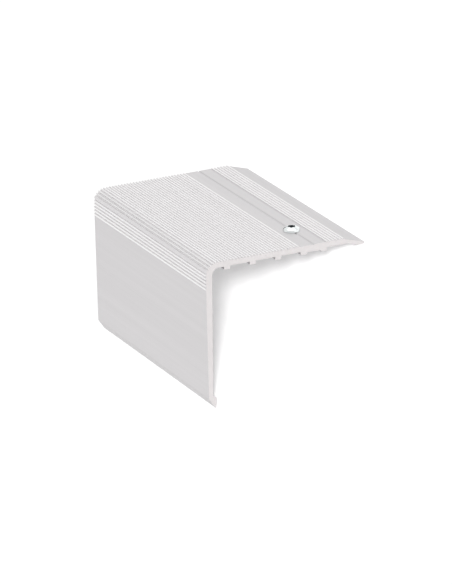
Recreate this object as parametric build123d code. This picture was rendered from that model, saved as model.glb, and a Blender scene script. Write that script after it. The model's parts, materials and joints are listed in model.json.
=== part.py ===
from build123d import *
from math import atan2, cos, degrees, floor, pi, radians, sin
import os

# Stair nose: an extruded aluminium angle that caps the edge of a step, cut to a hand length,
# with a raised countersunk screw in its screw channel. Millimetres.
# The section is drawn as fitted to a step: x runs back over the tread, y runs up, and the
# origin is where the rib tops of the tread and of the riser would meet.

# Overall sizes
LENGTH = 100.0  # along the edge of the step
TREAD_DEPTH = 71.2  # riser rib tops to the tip of the tail
RISER_HEIGHT = 61.6  # tread rib tops to the bottom of the riser

# Walls
TREAD_PLATE = 2.55  # rib tops to the underside
RISER_WALL = 2.95  # rib tops to the inner face
RISER_FOOT_WALL = 1.8  # the riser thins towards its bottom
RISER_STEP = 0.3  # plain riser face behind its rib tops
NOSE_RADIUS = 5.5  # over the rib tops
INNER_RADIUS = 3.0

# Ribs
RIB_PITCH = 1.37  # nominal, evened out over each ribbed band
GROOVE_DEPTH = 0.5
GROOVE_MOUTH = 0.74
GROOVE_FLOOR = 0.4
CREST_BEVEL = 0.08
LAND_START = 57.5  # smooth land on the nose, degrees round from the tread
LAND_END = 77.5
RISER_RIBS = 11.2  # tread rib tops to the end of the riser ribs
BACK_RIBS = 8.15  # ribbed band behind the channel

# Screw channel
CHANNEL_WIDTH = 12.4
CHANNEL_DEPTH = 0.3
CHANNEL_PAD = 0.6  # the plate is thicker under the channel
DRILL_LINE_WIDTH = 1.1  # V groove along the channel
DRILL_LINE_DEPTH = 0.4
DRILL_LINE_INSET = 5.8  # channel's back edge to the drill line

# Feet and tail
FOOT_WIDTH = 2.7
FOOT_HEIGHT = 1.35
FOOT_ROUND = 0.3
FRONT_FEET = 4
FIRST_FOOT = 9.6  # riser rib tops to the middle of the first foot
ROW_INSET = 2.0  # channel's front edge to the middle of the row's last foot
TAIL_RAMP = 8.9
TAIL_TIP = 0.8  # height of the blunt tip
TAIL_FOOT = 4.0  # flat under the tail
TAIL_BEND = 3.0  # run of the slope in front of that flat
TAIL_ROUND = 1.5

# Riser lip
LIP_DEPTH = 1.4  # behind the inner face
LIP_HEIGHT = 4.4
LIP_SLOPE = 1.0  # rise of the lip's slanted top
LIP_FLAT = 0.4
BOTTOM_BEVEL = 4.1
EDGE_RADIUS = 0.25  # bottom corners of the lip and of the tail

# Screw
SCREW_INSET = 18.8  # near end to the first screw
SCREW_SPACING = 250.0
HEAD_RADIUS = 3.5
HEAD_LAND = 0.25  # straight rim under the dome
HEAD_DOME = 1.2
HEAD_RISE = 0.4  # rim of the head above the rib tops
NECK_RADIUS = 1.25
NECK_LENGTH = 1.5  # plain shank between the head and the thread
THREAD_RADIUS = 1.75  # outside of the thread
THREAD_LENGTH = 3.5
POINT_LENGTH = 2.0
POINT_RADIUS = 0.3
SOCKET_RADIUS = 1.2  # middles of the lobes of the drive
LOBE_RADIUS = 0.44
LOBES = 6
SOCKET_DEPTH = 1.6  # below the top of the dome
HOLE_RADIUS = 2.0
SEAT_GAP = 0.05  # head to countersink

# Places that follow from the sizes above
seat = TREAD_PLATE + FOOT_HEIGHT
ramp_start = TREAD_DEPTH - TAIL_RAMP
channel_back = ramp_start - BACK_RIBS
channel_front = channel_back - CHANNEL_WIDTH
channel_middle = (channel_front + channel_back) / 2
drill_place = channel_back - DRILL_LINE_INSET
lip_face = RISER_WALL + LIP_DEPTH
nose_arc = NOSE_RADIUS * pi / 2


# A place on the rib tops, measured along them from where the flat tread meets the nose:
# a positive run goes back over the tread, a negative one round the nose and down the riser
def on_skin(run):
    if run >= 0:
        return Pos(NOSE_RADIUS + run, 0)
    if run < -nose_arc:
        return Pos(0, nose_arc - NOSE_RADIUS + run) * Rot(0, 0, 90)
    turn = -run / NOSE_RADIUS
    across = NOSE_RADIUS * (1 - sin(turn))
    down = NOSE_RADIUS * (1 - cos(turn))
    return Pos(across, -down) * Rot(0, 0, degrees(turn))


# The groove between two ribs, with bevels that break the edges of the crests
def groove():
    half = [
        (GROOVE_FLOOR / 2, -GROOVE_DEPTH),
        (GROOVE_MOUTH / 2, -CREST_BEVEL),
        (GROOVE_MOUTH / 2 + 2 * CREST_BEVEL, CREST_BEVEL),
    ]
    mirrored = [(-x, y) for x, y in reversed(half)]
    return make_face(Polyline(*half, *mirrored, close=True))


# Middles of the grooves of a ribbed band whose first rib starts at an edge, up to a last groove
def groove_runs(edge, last):
    towards = 1 if last > edge else -1
    start = edge - towards * GROOVE_MOUTH / 2
    count = round(abs(last - start) / RIB_PITCH)
    return [start + (last - start) * step / count for step in range(1, count + 1)]


def all_grooves():
    land_start = -NOSE_RADIUS * radians(LAND_START)
    land_end = -NOSE_RADIUS * radians(LAND_END)
    riser_end = NOSE_RADIUS - nose_arc - RISER_RIBS
    front = groove_runs(channel_front - NOSE_RADIUS, land_start)
    riser = groove_runs(riser_end, land_end)
    back = groove_runs(channel_back - NOSE_RADIUS, ramp_start - NOSE_RADIUS)
    return [on_skin(run) * groove() for run in front + riser + back]


def round_corners(face, corners, radius):
    picked = [face.vertices().sort_by_distance((x, y, 0))[0] for x, y in corners]
    return fillet(picked, radius)


# Outline of the section without its ribs, feet and channel
def plain_section():
    nose = (0, 0)
    tail_corner = (TREAD_DEPTH, -seat)
    tail_heel = (TREAD_DEPTH - TAIL_FOOT, -seat)
    tail_knee = (TREAD_DEPTH - TAIL_FOOT - TAIL_BEND, -TREAD_PLATE)
    inner_corner = (RISER_WALL, -TREAD_PLATE)
    lip_corner = (lip_face, -RISER_HEIGHT)
    outline = Polyline(
        nose,
        (ramp_start, 0),
        (ramp_start, -GROOVE_DEPTH),
        (TREAD_DEPTH, TAIL_TIP - seat),
        tail_corner,
        tail_heel,
        tail_knee,
        inner_corner,
        (RISER_WALL, LIP_HEIGHT + LIP_SLOPE - RISER_HEIGHT),
        (lip_face, LIP_HEIGHT - RISER_HEIGHT),
        lip_corner,
        (lip_face - LIP_FLAT, -RISER_HEIGHT),
        (RISER_WALL - RISER_FOOT_WALL, BOTTOM_BEVEL - RISER_HEIGHT),
        (RISER_STEP, -RISER_RIBS),
        (0, -RISER_RIBS),
        close=True,
    )
    face = make_face(outline)
    face = round_corners(face, [nose], NOSE_RADIUS)
    face = round_corners(face, [inner_corner], INNER_RADIUS)
    face = round_corners(face, [tail_heel, tail_knee], TAIL_ROUND)
    return round_corners(face, [tail_corner, lip_corner], EDGE_RADIUS)


# Feet under the tread: an even row back to the front of the channel, and one at its back edge
def foot_middles():
    last = channel_front + ROW_INSET
    step = (last - FIRST_FOOT) / (FRONT_FEET - 1)
    row = [FIRST_FOOT + step * place for place in range(FRONT_FEET)]
    return row + [channel_back - FOOT_WIDTH / 2]


def feet():
    foot = RectangleRounded(FOOT_WIDTH, 2 * FOOT_HEIGHT, FOOT_ROUND)
    return [Pos(middle, FOOT_HEIGHT - seat) * foot for middle in foot_middles()]


def section():
    pad = Pos(channel_middle, -TREAD_PLATE) * Rectangle(CHANNEL_WIDTH - FOOT_WIDTH, 2 * CHANNEL_PAD)
    floor_line = Pos(drill_place, -CHANNEL_DEPTH)
    channel = Pos(channel_middle, 0) * Rectangle(CHANNEL_WIDTH, 2 * CHANNEL_DEPTH)
    drill_line = Polyline(
        (-DRILL_LINE_WIDTH / 2, 0),
        (DRILL_LINE_WIDTH / 2, 0),
        (0, -DRILL_LINE_DEPTH),
        close=True,
    )
    solid_part = plain_section() + feet() + pad
    return solid_part - all_grooves() - channel - floor_line * make_face(drill_line)


# A turned solid about the screw's axis, from the points of its half section
def turned(*points):
    return revolve(Plane.XZ * make_face(Polyline(*points, close=True)), Axis.Z)


# Where the screws stand: the middle of the rim of each head
def screw_places():
    count = 1 + floor((LENGTH - 2 * SCREW_INSET) / SCREW_SPACING)
    first = SCREW_INSET - LENGTH / 2
    return [Pos(drill_place, first + SCREW_SPACING * place, HEAD_RISE) for place in range(count)]


# The countersunk hole, its cone wider than the head by the seat gap
def screw_hole():
    mouth = HEAD_RADIUS + HEAD_LAND + SEAT_GAP
    bottom = -seat - HEAD_RISE
    return turned((0, 0), (mouth, 0), (HOLE_RADIUS, HOLE_RADIUS - mouth), (HOLE_RADIUS, bottom), (0, bottom))


def nosing_profile():
    bar = Pos(0, LENGTH / 2, 0) * extrude(Plane.XZ * section(), LENGTH)
    return bar - [place * screw_hole() for place in screw_places()]


# Raised countersunk head with a six-lobe drive, a plain neck, the thread's envelope and a point
def screw():
    neck_top = NECK_RADIUS - HEAD_RADIUS - HEAD_LAND
    thread_top = neck_top - NECK_LENGTH
    thread_end = thread_top - THREAD_LENGTH
    shank = turned(
        (0, 0),
        (HEAD_RADIUS, 0),
        (HEAD_RADIUS, -HEAD_LAND),
        (NECK_RADIUS, neck_top),
        (NECK_RADIUS, thread_top),
        (THREAD_RADIUS, thread_top),
        (THREAD_RADIUS, thread_end),
        (POINT_RADIUS, thread_end - POINT_LENGTH),
        (0, thread_end - POINT_LENGTH),
    )
    rim = Polyline((HEAD_RADIUS, 0), (0, 0), (0, HEAD_DOME))
    dome_radius = (HEAD_RADIUS**2 + HEAD_DOME**2) / (2 * HEAD_DOME)
    crown = RadiusArc((0, HEAD_DOME), (HEAD_RADIUS, 0), dome_radius)
    dome = revolve(Plane.XZ * make_face(rim + crown), Axis.Z)
    drive = Circle(SOCKET_RADIUS) + PolarLocations(SOCKET_RADIUS, LOBES) * Circle(LOBE_RADIUS)
    socket = Pos(0, 0, HEAD_DOME - SOCKET_DEPTH) * extrude(drive, SOCKET_DEPTH)
    return shank + dome - socket


# Unheld, the part comes to rest nose up, on the corners of its lip and of its tail
bar = nosing_profile()
lean = Rot(0, degrees(atan2(RISER_HEIGHT - seat, TREAD_DEPTH - lip_face)), 0)
box = (lean * bar).bounding_box()
stand = Pos(-box.center().X, 0, -box.min.Z) * lean
screws = [stand * place * screw() for place in screw_places()]

os.makedirs("parts", exist_ok=True)
export_step(stand * bar, "parts/nosing_profile.step")
export_step(screws[0] if len(screws) == 1 else Compound(screws), "parts/screw.step")
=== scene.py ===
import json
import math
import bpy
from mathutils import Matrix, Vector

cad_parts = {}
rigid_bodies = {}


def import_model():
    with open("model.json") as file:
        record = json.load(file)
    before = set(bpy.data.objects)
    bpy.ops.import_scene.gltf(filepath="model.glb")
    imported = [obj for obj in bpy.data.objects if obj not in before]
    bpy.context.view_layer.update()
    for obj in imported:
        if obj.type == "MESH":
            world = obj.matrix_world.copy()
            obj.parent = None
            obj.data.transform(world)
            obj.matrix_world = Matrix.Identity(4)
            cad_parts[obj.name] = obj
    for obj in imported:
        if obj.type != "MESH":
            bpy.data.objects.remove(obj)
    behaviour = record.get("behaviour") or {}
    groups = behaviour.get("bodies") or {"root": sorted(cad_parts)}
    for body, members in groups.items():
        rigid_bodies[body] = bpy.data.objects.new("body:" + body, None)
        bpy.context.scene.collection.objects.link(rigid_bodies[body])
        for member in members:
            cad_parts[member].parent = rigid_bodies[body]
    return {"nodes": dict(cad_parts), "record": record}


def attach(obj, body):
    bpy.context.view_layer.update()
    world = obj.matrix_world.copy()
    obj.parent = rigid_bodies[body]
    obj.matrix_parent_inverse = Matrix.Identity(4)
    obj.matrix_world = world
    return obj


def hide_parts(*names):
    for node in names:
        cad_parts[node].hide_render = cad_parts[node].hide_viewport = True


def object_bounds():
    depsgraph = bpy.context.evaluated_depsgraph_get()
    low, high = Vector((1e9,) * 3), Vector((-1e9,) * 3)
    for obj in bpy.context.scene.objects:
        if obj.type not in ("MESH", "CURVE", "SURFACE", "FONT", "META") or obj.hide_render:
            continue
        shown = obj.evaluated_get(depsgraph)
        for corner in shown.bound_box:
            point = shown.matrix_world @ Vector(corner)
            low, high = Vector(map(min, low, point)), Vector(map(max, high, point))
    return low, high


bl_info = {
    "name": "Aluminium stair nose",
    "version": (1, 0, 0),
    "blender": (4, 5, 0),
    "location": "3D View > Sidebar > Stair nose",
    "description": "Finishes an extruded aluminium stair nose, makes its screw and sets a plain stage",
    "category": "Object",
}

import bmesh
import bpy
from mathutils import Matrix, Vector

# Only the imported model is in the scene
for leftover in list(bpy.data.objects):
    bpy.data.objects.remove(leftover)
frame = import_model()
cad_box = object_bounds()

MM = 0.001
FULL_TURN = 2 * math.pi


def linear(hex_colour):
    """Linear colour with alpha 1 from an sRGB hex value."""
    shares = [int(hex_colour[place:place + 2], 16) / 255 for place in (1, 3, 5)]
    straight = [share / 12.92 if share <= 0.04045 else ((share + 0.055) / 1.055) ** 2.4 for share in shares]
    return (*straight, 1.0)


class StairNoseFinish(bpy.types.PropertyGroup):
    """Colours of the extruded profile and the sizes that its finish follows."""

    satin: bpy.props.FloatVectorProperty(
        name="Satin face",
        description="Plain faces as they left the etching bath",
        subtype="COLOR", size=4, min=0, max=1, default=linear("#DEDCDD"),
    )
    # Painted highlight: the rib crests are coloured brighter in place of the glints that light gives them
    crest: bpy.props.FloatVectorProperty(
        name="Rib crest",
        description="Tops of the ribs, coloured bright",
        subtype="COLOR", size=4, min=0, max=1, default=linear("#FFFEFE"),
    )
    # Painted light: the grooves are coloured lighter than the plain faces, to lift the shade that falls in
    # them
    groove: bpy.props.FloatVectorProperty(
        name="Groove",
        description="Grooves between the ribs",
        subtype="COLOR", size=4, min=0, max=1, default=linear("#F3F1F2"),
    )
    grazing: bpy.props.FloatVectorProperty(
        name="Grazing tint",
        description="Sheen at grazing angles, held down by the anodic film",
        subtype="COLOR", size=4, min=0, max=1, default=linear("#DEDEDE"),
    )
    # Partly the bare, warmer metal of the cut ends and partly painted light, lifted in place of the key
    # lamp's reflection, which the metal doesn't mirror
    sawn: bpy.props.FloatVectorProperty(
        name="Sawn end",
        description="Bare metal of the cut ends",
        subtype="COLOR", size=4, min=0, max=1, default=linear("#E4E0E0"),
    )
    rib_tops: bpy.props.FloatProperty(
        name="Seat to rib tops",
        description="Height of the rib tops above the tread seat",
        unit="LENGTH", default=3.9 * MM,
    )
    rib_face: bpy.props.FloatProperty(
        name="Riser seat to rib face",
        description="Depth of the riser seat behind the riser's rib tops",
        unit="LENGTH", default=4.35 * MM,
    )
    nose_radius: bpy.props.FloatProperty(
        name="Nose radius",
        description="Radius over the rib tops at the nose",
        unit="LENGTH", default=5.5 * MM,
    )
    land_start: bpy.props.FloatProperty(
        name="Land start",
        description="Way round the nose, from the tread, to the smooth land between its ribs",
        subtype="ANGLE", default=math.radians(62.0),
    )
    land_end: bpy.props.FloatProperty(
        name="Land end",
        description="Way round the nose, from the tread, to the end of the smooth land",
        subtype="ANGLE", default=math.radians(73.0),
    )
    groove_depth: bpy.props.FloatProperty(
        name="Groove depth",
        description="Depth of the grooves below the rib tops",
        unit="LENGTH", default=0.5 * MM,
    )
    riser_ribs: bpy.props.FloatProperty(
        name="Riser ribs",
        description="Tread's rib tops to the lowest rib of the riser",
        unit="LENGTH", default=11.2 * MM,
    )
    channel_front: bpy.props.FloatProperty(
        name="Channel front",
        description="Riser's rib tops to the front edge of the screw channel",
        unit="LENGTH", default=41.75 * MM,
    )
    channel_back: bpy.props.FloatProperty(
        name="Channel back",
        description="Riser's rib tops to the back edge of the screw channel",
        unit="LENGTH", default=54.15 * MM,
    )
    ramp_start: bpy.props.FloatProperty(
        name="Ramp start",
        description="Riser's rib tops to the ramp of the tail",
        unit="LENGTH", default=62.3 * MM,
    )
    die_line: bpy.props.FloatProperty(
        name="Die line spacing",
        description="Width of the fine lines that the die drags along the length",
        unit="LENGTH", default=0.4 * MM,
    )
    streak: bpy.props.FloatProperty(
        name="Streak width",
        description="Width of the broad tonal streaks along the length",
        unit="LENGTH", default=3.5 * MM,
    )
    grain: bpy.props.FloatProperty(
        name="Etch grain",
        description="Size of the satin grain",
        unit="LENGTH", default=0.3 * MM,
    )
    tooth_mark: bpy.props.FloatProperty(
        name="Saw mark spacing",
        description="Spacing of the tooth marks on the cut ends",
        unit="LENGTH", default=0.7 * MM,
    )
    blade_radius: bpy.props.FloatProperty(
        name="Saw blade radius",
        description="Radius of the blade that cut the ends",
        unit="LENGTH", default=150 * MM,
    )
    blade_front: bpy.props.FloatProperty(
        name="Saw blade front",
        description="How far the middle of the blade stood in front of the riser",
        unit="LENGTH", default=30 * MM,
    )
    arris: bpy.props.FloatProperty(
        name="Arris",
        description="Width of the broken edge round the cut ends",
        unit="LENGTH", default=0.2 * MM,
    )


class StairNoseScrew(bpy.types.PropertyGroup):
    """Sizes and colours of the screw."""

    dome: bpy.props.FloatProperty(
        name="Dome height", description="Crown of the head above its rim",
        unit="LENGTH", default=1.2 * MM,
    )
    drive_radius: bpy.props.FloatProperty(
        name="Drive radius", description="Mean radius of the six-lobe recess",
        unit="LENGTH", default=1.5 * MM,
    )
    lobe: bpy.props.FloatProperty(
        name="Lobe height", description="How far the lobes reach beyond the mean radius",
        unit="LENGTH", default=0.17 * MM,
    )
    drive_depth: bpy.props.FloatProperty(
        name="Drive depth", description="Depth of the recess below the crown",
        unit="LENGTH", default=1.6 * MM,
    )
    lip: bpy.props.FloatProperty(
        name="Lip width", description="Steeper band of the head beside its rim",
        unit="LENGTH", default=0.25 * MM,
    )
    skirt: bpy.props.FloatProperty(
        name="Skirt", description="How far that band comes down, close to the floor of the channel",
        unit="LENGTH", default=0.42 * MM,
    )
    rounding: bpy.props.FloatProperty(
        name="Edge rounding", description="Broken edges of the head and of the drive",
        unit="LENGTH", default=0.06 * MM,
    )
    neck: bpy.props.FloatProperty(
        name="Neck radius", description="Plain shank under the head",
        unit="LENGTH", default=1.25 * MM,
    )
    core: bpy.props.FloatProperty(
        name="Core radius", description="Radius at the root of the thread",
        unit="LENGTH", default=1.15 * MM,
    )
    pitch: bpy.props.FloatProperty(
        name="Thread pitch", description="Advance of the thread in one turn",
        unit="LENGTH", default=1.2 * MM,
    )
    run_in: bpy.props.FloatProperty(
        name="Thread run-in", description="Length over which the thread grows to its full height",
        unit="LENGTH", default=0.5 * MM,
    )
    point: bpy.props.FloatProperty(
        name="Point length", description="Tapered end of the screw",
        unit="LENGTH", default=2.0 * MM,
    )
    zinc: bpy.props.FloatVectorProperty(
        name="Zinc plating", description="Bright plating of the head",
        subtype="COLOR", size=4, min=0, max=1, default=linear("#F4F8F8"),
    )
    # Painted shade: the inside of the drive is coloured dark for the shade that falls in the recess, not for
    # oil
    recess: bpy.props.FloatVectorProperty(
        name="Drive recess", description="Inside of the drive, dark with oil",
        subtype="COLOR", size=4, min=0, max=1, default=linear("#7E8588"),
    )


class StairNoseStage(bpy.types.PropertyGroup):
    """Camera, lamps and floor. Angles and places are given as fitted to a level step."""

    azimuth: bpy.props.FloatProperty(
        name="Azimuth", description="Camera's way round the part, from its near end",
        subtype="ANGLE", default=math.radians(-27.31),
    )
    elevation: bpy.props.FloatProperty(
        name="Elevation", description="Camera's height above the tread, as an angle",
        subtype="ANGLE", default=math.radians(20.76),
    )
    roll: bpy.props.FloatProperty(
        name="Roll", description="Turn of the camera about its own axis",
        subtype="ANGLE", default=math.radians(-0.45),
    )
    distance: bpy.props.FloatProperty(
        name="Distance", description="Camera to its aim",
        unit="LENGTH", default=1960.6 * MM,
    )
    aim: bpy.props.FloatVectorProperty(
        name="Aim", description="Point in the middle of the picture, from the near end of the nose",
        subtype="TRANSLATION", size=3, default=(5.318 * MM, -7.143 * MM, -10.307 * MM),
    )
    lens: bpy.props.FloatProperty(
        name="Lens", description="Focal length in millimetres", unit="CAMERA", default=308.2,
    )
    key_up: bpy.props.FloatProperty(
        name="Key lamp up", description="Turn of the key lamp from the camera, towards the picture's top",
        subtype="ANGLE", default=math.radians(3.8),
    )
    key_left: bpy.props.FloatProperty(
        name="Key lamp left", description="Turn of the key lamp from the camera, towards the picture's left",
        subtype="ANGLE", default=math.radians(3.8),
    )
    key_size: bpy.props.FloatProperty(
        name="Key lamp size", description="Angle that the key lamp fills, which softens its shadow",
        subtype="ANGLE", default=math.radians(9.0),
    )
    key_strength: bpy.props.FloatProperty(
        name="Key lamp", description="Strength of the key lamp", default=3.0,
    )
    top_tilt: bpy.props.FloatProperty(
        name="Top lamp tilt", description="Turn of the top lamp from overhead, back over the tread",
        subtype="ANGLE", default=math.radians(2.0),
    )
    top_size: bpy.props.FloatProperty(
        name="Top lamp size", description="Angle that the top lamp fills",
        subtype="ANGLE", default=math.radians(60.0),
    )
    top_strength: bpy.props.FloatProperty(
        name="Top lamp", description="Strength of the top lamp", default=0.35,
    )
    fill: bpy.props.FloatProperty(
        name="Fill", description="Strength of the light from all round", default=0.25,
    )
    lift: bpy.props.FloatProperty(
        name="Floor lift", description="White that the floor shows in its own right", default=0.32,
    )
    floor: bpy.props.FloatVectorProperty(
        name="Floor", description="Pale studio floor",
        subtype="COLOR", size=4, min=0, max=1, default=linear("#E8E8E8"),
    )
    backdrop_way: bpy.props.FloatVectorProperty(
        name="Backdrop", description="Way to the white backdrop behind the part",
        subtype="DIRECTION", size=3, default=(0.0, 0.995, 0.1),
    )
    backdrop_size: bpy.props.FloatProperty(
        name="Backdrop size", description="Angle from the backdrop's middle to its soft edge",
        subtype="ANGLE", default=math.radians(95.0),
    )
    studio: bpy.props.FloatProperty(
        name="Studio grey", description="Share of white that metal mirrors away from the backdrop",
        subtype="FACTOR", default=0.8,
    )
    backdrop_level: bpy.props.FloatProperty(
        name="Backdrop level", description="White that metal mirrors from the lit backdrop", default=1.16,
    )
    card_way: bpy.props.FloatVectorProperty(
        name="Grey card", description="Way to the grey card that the nose mirrors",
        subtype="DIRECTION", size=3, default=(-0.45, 0.83, 0.33),
    )
    card_size: bpy.props.FloatProperty(
        name="Grey card size", description="Angle from the card's middle to its soft edge",
        subtype="ANGLE", default=math.radians(45.0),
    )
    card_shade: bpy.props.FloatProperty(
        name="Grey card shade", description="Share of the white that the card takes away",
        subtype="FACTOR", default=0.3,
    )
    flag_way: bpy.props.FloatVectorProperty(
        name="Dark flag", description="Way to the small dark flag that the screw's flank mirrors",
        subtype="DIRECTION", size=3, default=(0.14, 0.98, 0.14),
    )
    flag_size: bpy.props.FloatProperty(
        name="Dark flag size", description="Angle from the flag's middle to its soft edge",
        subtype="ANGLE", default=math.radians(22.0),
    )
    flag_shade: bpy.props.FloatProperty(
        name="Dark flag shade", description="Share of the white that the flag takes away",
        subtype="FACTOR", default=0.9,
    )


def mount(name):
    """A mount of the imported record: its place and axis as vectors in metres, and its sizes."""
    found = next(row for row in frame["record"]["mounts"] if row["name"] == name)
    return Vector(found["pos_m"]), Vector(found["axis"]).normalized(), found["dims"]


def as_fitted(finish):
    """Takes a place as fitted to a step into the stored part, which leans on its two edges.

    As fitted, x runs back over the tread, y along the length from the near end and z up, and the
    origin is the corner where the rib tops of the tread and of the riser would meet.
    """
    seat, down, _ = mount("tread_seat")
    lip, back, _ = mount("riser_seat")
    nose = down * (seat.dot(down) - finish.rib_tops) + back * (lip.dot(back) - finish.rib_face)
    nose.y = cad_box[0].y
    lean = math.atan2(-down.x, -down.z)
    return Matrix.Translation(nose) @ Matrix.Rotation(lean, 4, "Y")


def add_node(tree, kind, inputs=(), **settings):
    """Adds a node with its settings. An input takes a value, a socket or a node whose result it uses."""
    made = tree.nodes.new("ShaderNode" + kind)
    for setting, value in settings.items():
        setattr(made, setting, value)
    for name, value in dict(inputs).items():
        wanted = made.inputs[name]
        if isinstance(name, str):
            wanted = next(socket for socket in made.inputs if socket.enabled and socket.name == name)
        if isinstance(value, bpy.types.Node):
            value = next(socket for socket in value.outputs if socket.enabled)
        if isinstance(value, bpy.types.NodeSocket):
            tree.links.new(value, wanted)
        else:
            wanted.default_value = value
    return made


def new_material(name):
    """An empty node material and its tree."""
    material = bpy.data.materials.new(name)
    material.use_nodes = True
    material.node_tree.nodes.clear()
    return material, material.node_tree


def rib_depth(tree, finish, across, up):
    """Depth below the rib tops and the run along them, in millimetres, as two nodes.

    The rib tops follow a rounded corner. The run is 0 where the flat tread meets the nose, positive
    back over the tread and negative round the nose and down the riser.
    """
    radius = finish.nose_radius / MM
    from_riser = add_node(tree, "Math", {0: radius, 1: across}, operation="SUBTRACT")
    from_tread = add_node(tree, "Math", {0: radius, 1: up}, operation="ADD")
    inner = add_node(tree, "CombineXYZ", {"X": from_riser, "Y": from_tread})
    outward = add_node(tree, "VectorMath", {0: inner, 1: (0, 0, 0)}, operation="MAXIMUM")
    reach = add_node(tree, "VectorMath", {0: outward}, operation="LENGTH")
    depth = add_node(tree, "Math", {0: radius, 1: reach}, operation="SUBTRACT")

    corner = add_node(tree, "SeparateXYZ", {0: outward}).outputs
    turn = add_node(tree, "Math", {0: corner["X"], 1: corner["Y"]}, operation="ARCTAN2")
    flat = add_node(tree, "VectorMath", {0: inner, 1: outward}, operation="SUBTRACT")
    flats = add_node(tree, "VectorMath", {0: flat, 1: (-1, 1, 0)}, operation="DOT_PRODUCT")
    run = add_node(tree, "Math", {0: turn, 1: -radius, 2: flats}, operation="MULTIPLY_ADD")
    return depth, run


def ribbed_bands(tree, finish, run):
    """1 on the two ribbed bands, in front of the screw channel and behind it, and 0 elsewhere.

    They take in the walls of the channel, which get the same painted light.
    """
    lowest = finish.nose_radius * (1 - FULL_TURN / 4) - finish.riser_ribs
    bands = [
        (lowest, finish.channel_front - finish.nose_radius),
        (finish.channel_back - finish.nose_radius, finish.ramp_start - finish.nose_radius),
    ]
    wall = 0.05 * MM
    inside = [
        add_node(tree, "Math", {
            0: run, 1: (start + end) / 2 / MM, 2: ((end - start) / 2 + wall) / MM,
        }, operation="COMPARE")
        for start, end in bands
    ]
    return add_node(tree, "Math", {0: inside[0], 1: inside[1]}, operation="ADD")


# Radians that the wave texture turns through in a unit of length
WAVE_RADIANS = 20
# Share of a line's change that is left along the length, where the die draws it out
DRAWN_OUT = 0.004
# How squarely a face looks along the length to count as a cut end
END_FACING = 0.9


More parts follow.
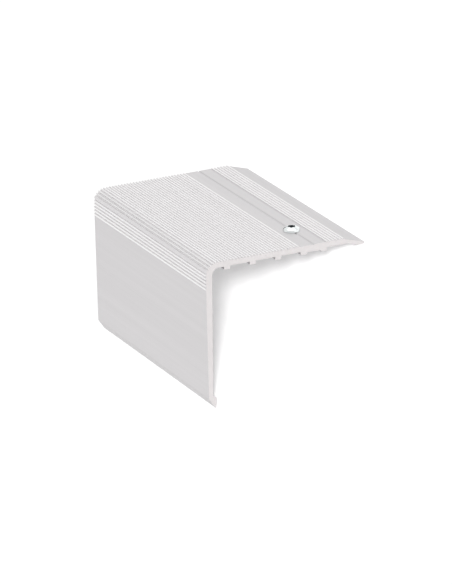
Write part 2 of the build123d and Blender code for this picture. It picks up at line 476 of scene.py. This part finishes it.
def satin_aluminium(finish, fitted_frame):
    """Aluminium, extruded, etched and clear anodised, then sawn to length.

    Etching leaves a silvery satin face with a soft sheen. The die drags fine lines along the length.
    The rib crests carry a painted highlight and the grooves painted light against their shade. The cut
    ends are bare, warmer and toothed, lifted in part by painted light, with a painted highlight on
    the broken edge.
    """
    material, tree = new_material("anodised_aluminium_satin_extruded")
    place = add_node(tree, "TexCoord").outputs["Object"]
    fitted = add_node(tree, "Mapping", {
        "Vector": place, "Location": fitted_frame.to_translation(), "Rotation": fitted_frame.to_euler(),
        "Scale": (MM, MM, MM),
    }, vector_type="TEXTURE")
    axes = add_node(tree, "SeparateXYZ", {0: fitted}).outputs

    # Painted highlight on the crests, which lie at no depth; it fades out well above the floor of a groove
    depth, run = rib_depth(tree, finish, axes["X"], axes["Z"])
    floor_depth = finish.groove_depth / MM
    crest = add_node(tree, "MapRange", {
        "Value": depth, "From Min": 0.3 * floor_depth, "From Max": 0.1 * floor_depth,
    })
    # The smooth land on the nose is no rib, and gets no painted highlight
    land = add_node(tree, "Math", {
        0: run,
        1: -(finish.land_start + finish.land_end) / 2 * finish.nose_radius / MM,
        2: (finish.land_end - finish.land_start) / 2 * finish.nose_radius / MM,
    }, operation="COMPARE")
    crest = add_node(tree, "Math", {0: crest, 1: land}, operation="SUBTRACT", use_clamp=True)
    # Painted light for the grooves, whose mask takes in a little more than their depth, because the round
    # nose has facets
    sunk = add_node(tree, "Math", {0: depth, 1: 1.3 * floor_depth}, operation="LESS_THAN")
    groove = add_node(tree, "Math", {
        0: sunk, 1: ribbed_bands(tree, finish, run),
    }, operation="MULTIPLY")

    # Lines drawn along the length: near constant along it, fine and broad across
    drawn = add_node(tree, "VectorMath", {0: fitted, 1: (1, DRAWN_OUT, 1)}, operation="MULTIPLY")
    lines = add_node(tree, "TexNoise", {
        "Vector": drawn, "Scale": MM / finish.die_line, "Detail": 3, "Roughness": 0.6,
    })
    streaks = add_node(tree, "TexNoise", {
        "Vector": drawn, "Scale": MM / finish.streak, "Detail": 2, "Roughness": 0.5,
    })
    # The etch's own grain is some 0.03 mm, drawn ten times coarser so that it shows
    grain = add_node(tree, "TexNoise", {
        "Vector": fitted, "Scale": MM / finish.grain, "Detail": 2, "Roughness": 0.5,
    })

    # Cut ends face along the length and carry arcs of the blade's teeth
    normal = add_node(tree, "NewGeometry").outputs["True Normal"]
    along = add_node(tree, "SeparateXYZ", {0: normal}).outputs["Y"]
    facing = add_node(tree, "Math", {0: along}, operation="ABSOLUTE")
    end = add_node(tree, "Math", {0: facing, 1: END_FACING}, operation="GREATER_THAN")
    blade = add_node(tree, "Mapping", {
        "Vector": fitted,
        "Location": (finish.blade_front / MM, 0, finish.blade_radius / MM),
        "Scale": (1, 0, 1),
    })
    teeth = add_node(tree, "TexWave", {
        "Vector": blade, "Scale": FULL_TURN / WAVE_RADIANS * MM / finish.tooth_mark, "Distortion": 1.5,
        "Detail": 2, "Detail Scale": 0.4,
    }, wave_type="RINGS", rings_direction="SPHERICAL").outputs["Fac"]

    # Painted highlight on the broken edge, which is where the rounded normal is neither along the length nor
    # across it
    rounded = add_node(tree, "Bevel", {"Radius": finish.arris}, samples=6)
    turned = add_node(tree, "SeparateXYZ", {0: rounded}).outputs["Y"]
    lengthwise = add_node(tree, "Math", {0: turned}, operation="ABSOLUTE")
    bent = add_node(tree, "Math", {0: lengthwise, 1: facing}, operation="SUBTRACT")
    bent = add_node(tree, "Math", {0: bent}, operation="ABSOLUTE")
    edge = add_node(tree, "MapRange", {"Value": bent, "From Min": 0.05, "From Max": 0.3})

    # Painted light in the grooves, against the shade that falls in them
    tone = add_node(tree, "Mix", {"Factor": groove, "A": finish.satin, "B": finish.groove}, data_type="RGBA")
    # Painted highlight on the rib crests
    tone = add_node(tree, "Mix", {"Factor": crest, "A": tone, "B": finish.crest}, data_type="RGBA")
    # Sawn ends: bare warmer metal, lifted in part by painted light
    tone = add_node(tree, "Mix", {"Factor": end, "A": tone, "B": finish.sawn}, data_type="RGBA")
    # Painted highlight: the broken edge takes the crest's bright colour
    tone = add_node(tree, "Mix", {"Factor": edge, "A": tone, "B": finish.crest}, data_type="RGBA")
    shade = add_node(tree, "MapRange", {
        "Value": streaks, "From Min": 0.3, "From Max": 0.7, "To Min": 0.975, "To Max": 1.015,
    })
    tone = add_node(tree, "VectorMath", {0: tone, "Scale": shade}, operation="SCALE")

    height = add_node(tree, "Mix", {"Factor": end, "A": lines, "B": teeth}, data_type="FLOAT")
    height = add_node(tree, "Math", {0: grain, 1: 0.4, 2: height}, operation="MULTIPLY_ADD")
    relief = add_node(tree, "Bump", {
        "Strength": 1.0, "Distance": 0.008 * MM, "Height": height, "Normal": rounded,
    })
    rough = add_node(tree, "MapRange", {
        "Value": lines, "From Min": 0.3, "From Max": 0.7, "To Min": 0.36, "To Max": 0.46,
    })
    shader = add_node(tree, "BsdfPrincipled", {
        "Base Color": tone, "Metallic": 1.0, "Roughness": rough, "Normal": relief,
        "Specular Tint": finish.grazing,
    })
    add_node(tree, "OutputMaterial", {"Surface": shader})
    return material


def zinc_plated_steel(shape):
    """Cold-headed steel, bright zinc plated: a cool white shine, a little clouded."""
    material, tree = new_material("zinc_plated_steel_cold_headed")
    place = add_node(tree, "TexCoord").outputs["Object"]
    # Plating crystals are too fine to see, so the cloud is drawn at a third of a millimetre
    cloud = add_node(tree, "TexNoise", {"Vector": place, "Scale": 1 / (0.35 * MM), "Detail": 3})
    shade = add_node(tree, "MapRange", {"Value": cloud, "To Min": 0.94, "To Max": 1.0})
    tone = add_node(tree, "VectorMath", {0: shape.zinc[:3], "Scale": shade}, operation="SCALE")
    rough = add_node(tree, "MapRange", {"Value": cloud, "To Min": 0.1, "To Max": 0.24})
    relief = add_node(tree, "Bump", {"Strength": 1.0, "Distance": 0.004 * MM, "Height": cloud})
    shader = add_node(tree, "BsdfPrincipled", {
        "Base Color": tone, "Metallic": 1.0, "Roughness": rough, "Normal": relief,
    })
    add_node(tree, "OutputMaterial", {"Surface": shader})
    return material


def drive_steel_painted_shade(shape):
    """Punched steel of the drive, coloured dark as painted shade inside the recess."""
    material, tree = new_material("steel_punched_drive_painted_shade")
    place = add_node(tree, "TexCoord").outputs["Object"]
    cloud = add_node(tree, "TexNoise", {"Vector": place, "Scale": 1 / (0.4 * MM), "Detail": 2})
    rough = add_node(tree, "MapRange", {"Value": cloud, "To Min": 0.3, "To Max": 0.5})
    # Painted shade: the drive's dark colour
    shader = add_node(tree, "BsdfPrincipled", {
        "Base Color": shape.recess, "Metallic": 1.0, "Roughness": rough,
    })
    add_node(tree, "OutputMaterial", {"Surface": shader})
    return material


# Points round the screw, lobes of its drive and rings of its dome
SEGMENTS = 96
LOBES = 6
DOME_RINGS = 12
# Rows of points in one turn of the thread
THREAD_ROWS = 14
# Share of the drive's width at the inner ring of its floor
FLOOR_SHARE = 0.35
# Share of the dome over which the lobes fade into its round
LOBE_FADE = 0.25
# Half the width of the thread's ridge, as a share of its pitch
RIDGE_HALF = 0.3
# Share of the shank's radius that is left at the tip
TIP_SHARE = 0.06
# Edges that bend more than this show as edges
SHARP_EDGE = math.radians(35)


def screw_sizes():
    """Place of the rim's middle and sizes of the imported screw, in metres along its axis."""
    middle, into_step, dims = mount("screw_thread")
    spots = []
    for corner in frame["nodes"]["screw"].data.vertices:
        height = (middle - corner.co).dot(into_step)
        spots.append((height, (corner.co - middle + into_step * height).length))
    head_radius = max(radius for height, radius in spots)
    rim = [height for height, radius in spots if radius > 0.99 * head_radius]
    return {
        "rim": middle - into_step * max(rim),
        "head_radius": head_radius,
        "land": max(rim) - min(rim),
        "tip": max(rim) - min(height for height, radius in spots),
        "thread_radius": dims["r_mm"] * MM,
        "thread_length": dims["length_mm"] * MM,
    }


def head_rings(shape, sizes):
    """Rings of the head from the floor of its drive out to its rim, and how many line the drive.

    A ring gives its radius and its height for a turn about the axis.
    """
    head = sizes["head_radius"]
    edge = shape.rounding
    ball = (head**2 + shape.dome**2) / (2 * shape.dome)
    floor = shape.dome - shape.drive_depth

    def crown(radius):
        return math.sqrt(ball**2 - radius**2) - ball + shape.dome

    def lobed(turn, offset):
        return shape.drive_radius + offset + shape.lobe * math.cos(LOBES * turn)

    rings = [
        lambda turn: (FLOOR_SHARE * lobed(turn, -edge), floor - edge),
        lambda turn: (lobed(turn, -2 * edge), floor),
        lambda turn: (lobed(turn, -edge), floor + edge),
        lambda turn: (lobed(turn, 0), crown(lobed(turn, 0)) - edge),
    ]
    drive = len(rings)
    start = shape.drive_radius + shape.lobe + edge
    for step in range(DOME_RINGS + 1):
        share = step / DOME_RINGS
        plain = start + (head - shape.lip - start) * share
        lobe_share = max(0.0, 1 - share / LOBE_FADE)

        def dome_ring(turn, plain=plain, lobe_share=lobe_share):
            radius = plain + (lobed(turn, edge) - plain) * lobe_share
            return radius, crown(radius)

        rings.append(dome_ring)
    return rings, drive


def shank_rings(shape, sizes):
    """Rings of the screw from its rim down its cone, neck and thread to its tip."""
    head = sizes["head_radius"]
    land = sizes["land"]
    edge = shape.rounding
    underside = -shape.skirt - land
    cone_end = -land - head + shape.neck
    point_start = shape.point - sizes["tip"]
    thread_start = point_start + sizes["thread_length"]
    plain = [
        (head, underside + edge), (head - edge, underside), (head - shape.skirt, underside),
        (shape.neck + edge, cone_end + edge), (shape.neck, cone_end - edge), (shape.neck, thread_start),
    ]
    rings = [lambda turn, ring=ring: ring for ring in plain]
    rows = round(THREAD_ROWS * (thread_start + sizes["tip"]) / shape.pitch)
    for row in range(1, rows + 1):
        height = thread_start - (thread_start + sizes["tip"]) * row / rows
        taper = min(1.0, max(TIP_SHARE, (height + sizes["tip"]) / shape.point))
        grown = min(1.0, (thread_start - height) / shape.run_in)
        core = shape.neck + (shape.core - shape.neck) * grown

        def thread_ring(turn, height=height, taper=taper, grown=grown, core=core):
            phase = (height / shape.pitch + turn / FULL_TURN) % 1.0
            ridge = max(0.0, 1 - abs(phase - 0.5) / RIDGE_HALF)
            return taper * (core + (sizes["thread_radius"] - core) * ridge * grown), height

        rings.append(thread_ring)
    return rings


def screw_mesh(shape, sizes):
    """The screw as one closed mesh, head up, with its drive as the second material."""
    head, drive = head_rings(shape, sizes)
    build = bmesh.new()
    loops = []
    for ring in head + shank_rings(shape, sizes):
        loop = []
        for step in range(SEGMENTS):
            turn = FULL_TURN * step / SEGMENTS
            radius, height = ring(turn)
            loop.append(build.verts.new((radius * math.cos(turn), radius * math.sin(turn), height)))
        loops.append(loop)
    for number, (upper, lower) in enumerate(zip(loops, loops[1:])):
        for step in range(SEGMENTS):
            ahead = (step + 1) % SEGMENTS
            face = build.faces.new((upper[step], lower[step], lower[ahead], upper[ahead]))
            face.material_index = 1 if number < drive - 1 else 0
    for loop, slot in ((loops[0], 1), (loops[-1], 0)):
        middle = sum((corner.co for corner in loop), Vector()) / SEGMENTS
        hub = build.verts.new(middle)
        for step in range(SEGMENTS):
            face = build.faces.new((loop[step], loop[(step + 1) % SEGMENTS], hub))
            face.material_index = slot
    bmesh.ops.recalc_face_normals(build, faces=build.faces)
    mesh = bpy.data.meshes.new("screw_raised_countersunk")
    build.to_mesh(mesh)
    build.free()
    mesh.shade_smooth()
    mesh.set_sharp_from_angle(angle=SHARP_EDGE)
    return mesh


class STAIRNOSE_OT_finish_profile(bpy.types.Operator):
    """Gives the extruded profile its satin aluminium"""

    bl_idname = "stair_nose.finish_profile"
    bl_label = "Finish the profile"

    def execute(self, context):
        finish = context.scene.stair_nose_finish
        profile = frame["nodes"]["nosing_profile"]
        profile.data.materials.clear()
        profile.data.materials.append(satin_aluminium(finish, as_fitted(finish)))
        return {"FINISHED"}


class STAIRNOSE_OT_make_screw(bpy.types.Operator):
    """Makes the raised countersunk screw in its channel"""

    bl_idname = "stair_nose.make_screw"
    bl_label = "Make the screw"

    def execute(self, context):
        shape = context.scene.stair_nose_screw
        sizes = screw_sizes()
        screw = bpy.data.objects.new("raised_countersunk_screw", screw_mesh(shape, sizes))
        context.scene.collection.objects.link(screw)
        turned = as_fitted(context.scene.stair_nose_finish).to_3x3().to_4x4()
        screw.matrix_world = Matrix.Translation(sizes["rim"]) @ turned
        screw.data.materials.append(zinc_plated_steel(shape))
        screw.data.materials.append(drive_steel_painted_shade(shape))
        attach(screw, "root")
        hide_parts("screw")
        return {"FINISHED"}


class STAIRNOSE_OT_set_stage(bpy.types.Operator):
    """Sets the floor, the lamps, the white surroundings and the camera"""

    bl_idname = "stair_nose.set_stage"
    bl_label = "Set the stage"

    def execute(self, context):
        scene = context.scene
        stage = scene.stair_nose_stage
        fitted_frame = as_fitted(scene.stair_nose_finish)
        make_floor(scene, stage)
        make_surroundings(scene, stage, fitted_frame)
        view = fitted_frame @ camera_place(stage)
        make_camera(scene, stage, view)
        beside = Matrix.Rotation(-stage.key_up, 4, "X") @ Matrix.Rotation(-stage.key_left, 4, "Y")
        key = make_lamp(scene, "key_lamp", stage.key_strength, stage.key_size, view @ beside)
        # Flagged off the metal, which would mirror it as a glare from other sides
        key.visible_glossy = False
        overhead = fitted_frame @ Matrix.Rotation(stage.top_tilt, 4, "Y")
        make_lamp(scene, "top_lamp", stage.top_strength, stage.top_size, overhead)
        scene.view_settings.view_transform = "Standard"
        return {"FINISHED"}


def seen_by_camera(tree):
    """1 for what the camera sees straight or mirrored in metal or through glass, 0 for light alone."""
    path = add_node(tree, "LightPath").outputs
    seen = add_node(tree, "Math", {0: path["Is Camera Ray"], 1: path["Is Glossy Ray"]}, operation="MAXIMUM")
    seen = add_node(tree, "Math", {0: seen, 1: path["Is Transmission Ray"]}, operation="MAXIMUM")
    return seen, path


def make_floor(scene, stage):
    """A pale floor that keeps the shadow and shows white where no shadow falls."""
    reach = 6.0
    corners = [(-reach, -reach, 0), (reach, -reach, 0), (reach, reach, 0), (-reach, reach, 0)]
    mesh = bpy.data.meshes.new("studio_floor")
    mesh.from_pydata(corners, [], [(0, 1, 2, 3)])
    floor = bpy.data.objects.new("studio_floor", mesh)
    scene.collection.objects.link(floor)
    material, tree = new_material("painted_board_matt_white")
    matt = add_node(tree, "BsdfDiffuse", {"Color": stage.floor})
    seen, _ = seen_by_camera(tree)
    strength = add_node(tree, "Math", {0: seen, 1: stage.lift}, operation="MULTIPLY")
    white = add_node(tree, "Emission", {"Strength": strength})
    both = add_node(tree, "AddShader", {0: matt, 1: white})
    add_node(tree, "OutputMaterial", {"Surface": both})
    mesh.materials.append(material)


def make_surroundings(scene, stage, fitted_frame):
    """White for the camera, a dimmer fill for light, and for metal a studio with a backdrop and cards."""
    scene.world = bpy.data.worlds.new("white_studio")
    scene.world.use_nodes = True
    tree = scene.world.node_tree
    tree.nodes.clear()
    seen, path = seen_by_camera(tree)
    ray = add_node(tree, "TexCoord").outputs["Generated"]
    cards = (
        (stage.backdrop_way, stage.backdrop_size, stage.studio, stage.backdrop_level),
        (stage.card_way, stage.card_size, 1.0, 1 - stage.card_shade),
        (stage.flag_way, stage.flag_size, 1.0, 1 - stage.flag_shade),
    )
    mirrored = 1.0
    for way, size, around, middle in cards:
        turned = (fitted_frame.to_3x3() @ Vector(way)).normalized()
        facing = add_node(tree, "VectorMath", {0: ray, 1: turned}, operation="DOT_PRODUCT")
        card = add_node(tree, "MapRange", {
            "Value": facing, "From Min": math.cos(size), "To Min": around, "To Max": middle,
        }, interpolation_type="SMOOTHSTEP")
        mirrored = add_node(tree, "Math", {0: mirrored, 1: card}, operation="MULTIPLY")
    white = add_node(tree, "Mix", {
        "Factor": path["Is Glossy Ray"], "A": 1.0, "B": mirrored,
    }, data_type="FLOAT")
    level = add_node(tree, "Mix", {"Factor": seen, "A": stage.fill, "B": white}, data_type="FLOAT")
    light = add_node(tree, "Background", {"Color": (1, 1, 1, 1), "Strength": level})
    add_node(tree, "OutputWorld", {"Surface": light})


def camera_place(stage):
    """The photograph's viewing angle, as fitted."""
    level = math.cos(stage.elevation)
    back = Vector((
        math.sin(stage.azimuth) * level, -math.cos(stage.azimuth) * level, math.sin(stage.elevation),
    ))
    turned = (-back).to_track_quat("-Z", "Y").to_matrix() @ Matrix.Rotation(stage.roll, 3, "Z")
    return Matrix.Translation(Vector(stage.aim) + back * stage.distance) @ turned.to_4x4()


def make_camera(scene, stage, view):
    """The camera, turned about its axis so that the leaning part shows as fitted."""
    data = bpy.data.cameras.new("photo_camera")
    data.sensor_width = 36
    data.lens = stage.lens
    data.clip_end = 20
    camera = bpy.data.objects.new("photo_camera", data)
    scene.collection.objects.link(camera)
    camera.matrix_world = view
    scene.camera = camera


def make_lamp(scene, name, strength, size, place):
    """A distant soft lamp that shines down its own axis."""
    data = bpy.data.lights.new(name, "SUN")
    data.energy = strength
    data.angle = size
    lamp = bpy.data.objects.new(name, data)
    scene.collection.objects.link(lamp)
    lamp.matrix_world = place
    return lamp


class STAIRNOSE_PT_sidebar(bpy.types.Panel):
    """Lists the steps that make the stair nose"""

    bl_idname = "STAIRNOSE_PT_sidebar"
    bl_label = "Stair nose"
    bl_space_type = "VIEW_3D"
    bl_region_type = "UI"
    bl_category = "Stair nose"

    def draw(self, context):
        for step in STEPS:
            self.layout.operator(step.bl_idname)


STEPS = (STAIRNOSE_OT_finish_profile, STAIRNOSE_OT_make_screw, STAIRNOSE_OT_set_stage)
GROUPS = {
    "stair_nose_finish": StairNoseFinish,
    "stair_nose_screw": StairNoseScrew,
    "stair_nose_stage": StairNoseStage,
}
CLASSES = (*GROUPS.values(), *STEPS, STAIRNOSE_PT_sidebar)


def register():
    for each in CLASSES:
        bpy.utils.register_class(each)
    for name, group in GROUPS.items():
        setattr(bpy.types.Scene, name, bpy.props.PointerProperty(type=group))


def unregister():
    for name in GROUPS:
        delattr(bpy.types.Scene, name)
    for each in reversed(CLASSES):
        bpy.utils.unregister_class(each)


def main():
    register()
    bpy.ops.stair_nose.finish_profile()
    bpy.ops.stair_nose.make_screw()
    bpy.ops.stair_nose.set_stage()


if __name__ == "__main__":
    main()
